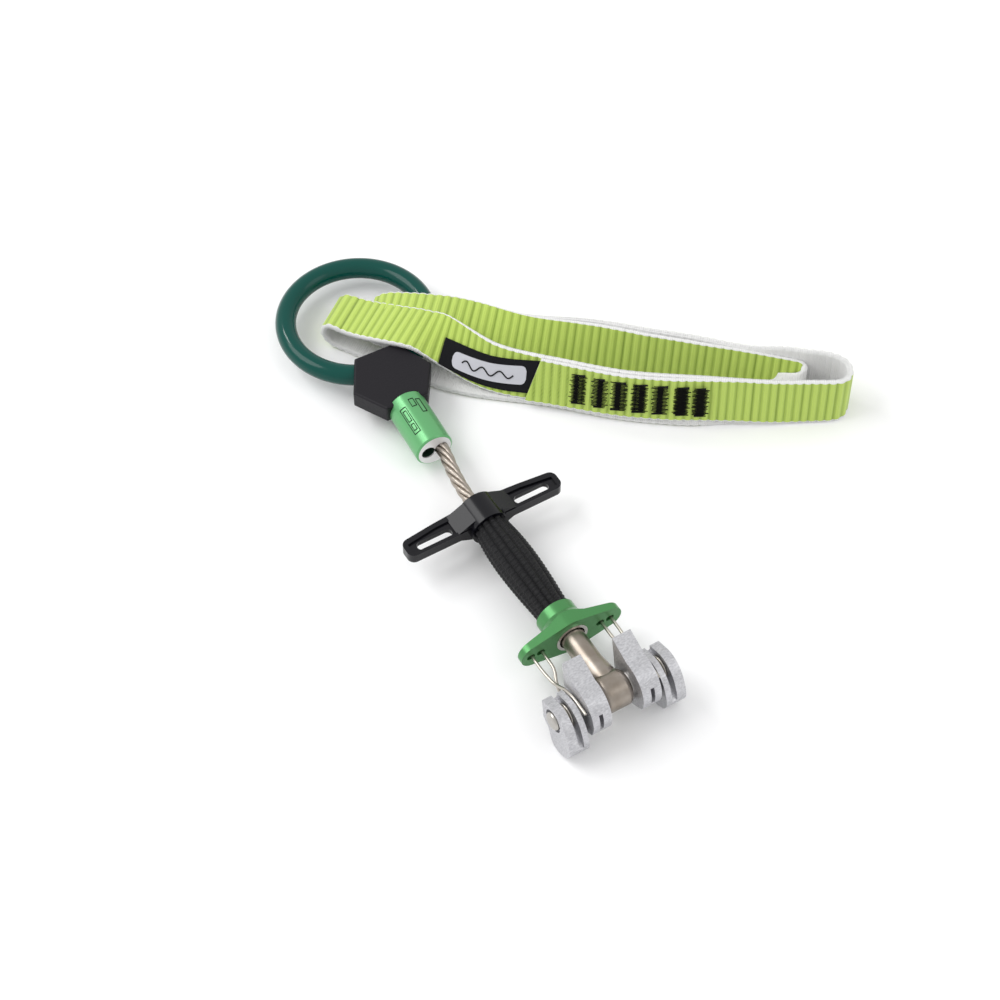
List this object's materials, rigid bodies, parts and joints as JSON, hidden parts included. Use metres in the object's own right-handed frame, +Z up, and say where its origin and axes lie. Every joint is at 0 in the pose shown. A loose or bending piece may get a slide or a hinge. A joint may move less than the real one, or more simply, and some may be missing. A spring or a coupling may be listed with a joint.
{
  "type": "climbing cam with sling",
  "caption": "Spring-loaded camming device with a cable stem, opposed cams on one axle, a trigger bar, a thumb loop and a doubled sewn webbing sling.",
  "frame": {"origin": "centre of the axle, midway between the cams", "axes": "+X along the axle, +Y along the straight stem from the cams to the thumb loop, +Z up through the side that lies uppermost"},
  "size_m": [0.125, 0.159, 0.0188],
  "materials": {
    "strand_steel": "twisted strands, dull",
    "loop_plastic": "glossy tube",
    "ferrule_anodised": "green anodised, bare end face",
    "yoke_rubber": "matte moulding",
    "brazed_steel": "heat-tinted steel",
    "axle_steel": "turned steel",
    "cam_aluminium": "blasted",
    "wire_steel": "drawn wire",
    "plate_anodised": "green anodised",
    "bush_steel": "polished",
    "sheath_braid": "woven sleeve",
    "trigger_black": "satin black",
    "webbing": "ribbed tape with pale edges",
    "label_cloth": "woven tag with a pale plain panel"
  },
  "bodies": {
    "stem": {"stem_cable": "strand_steel", "thumb_loop_sleeve": "loop_plastic", "ferrule": "ferrule_anodised", "yoke": "yoke_rubber", "stem_end_fitting": "brazed_steel", "axle": "axle_steel", "axle_head_right": "axle_steel", "axle_head_left": "axle_steel", "spacer_right": "axle_steel", "spacer_left": "axle_steel", "sling_webbing": "webbing", "sling_label": "label_cloth"},
    "trigger": {"trigger_bar": "trigger_black", "trigger_sheath": "sheath_braid", "pull_cable_right": "wire_steel", "pull_cable_left": "wire_steel", "wire_plate": "plate_anodised", "plate_bush": "bush_steel", "inner_cam_wire_right": "wire_steel", "inner_cam_wire_left": "wire_steel", "outer_cam_wire_right": "wire_steel", "outer_cam_wire_left": "wire_steel"},
    "upper_cam_right": {"inner_cam_right": "cam_aluminium"},
    "upper_cam_left": {"inner_cam_left": "cam_aluminium"},
    "lower_cam_right": {"outer_cam_right": "cam_aluminium", "cam_spring_right": "wire_steel"},
    "lower_cam_left": {"outer_cam_left": "cam_aluminium", "cam_spring_left": "wire_steel"}
  },
  "joints": [
    {"name": "trigger_slide", "type": "slide", "parent": "stem", "child": "trigger", "axis": [0, 1, 0], "range_m": [0, 0.0085], "stiffness_N_per_m": 300, "springref_m": -0.01},
    {"name": "upper_cam_right_turn", "type": "hinge", "parent": "stem", "child": "upper_cam_right", "pos_m": [0, 0, 0], "axis": [1, 0, 0], "range_deg": [-100, 0]},
    {"name": "upper_cam_left_turn", "type": "hinge", "parent": "stem", "child": "upper_cam_left", "pos_m": [0, 0, 0], "axis": [1, 0, 0], "range_deg": [-100, 0]},
    {"name": "lower_cam_right_turn", "type": "hinge", "parent": "stem", "child": "lower_cam_right", "pos_m": [0, 0, 0], "axis": [1, 0, 0], "range_deg": [0, 100]},
    {"name": "lower_cam_left_turn", "type": "hinge", "parent": "stem", "child": "lower_cam_left", "pos_m": [0, 0, 0], "axis": [1, 0, 0], "range_deg": [0, 100]}
  ],
  "couplings": [
    {"joint": "upper_cam_right_turn", "follows": "trigger_slide", "rad_per_m": -203.4},
    {"joint": "upper_cam_left_turn", "follows": "trigger_slide", "rad_per_m": -203.4},
    {"joint": "lower_cam_right_turn", "follows": "trigger_slide", "rad_per_m": 203.4},
    {"joint": "lower_cam_left_turn", "follows": "trigger_slide", "rad_per_m": 203.4}
  ]
}
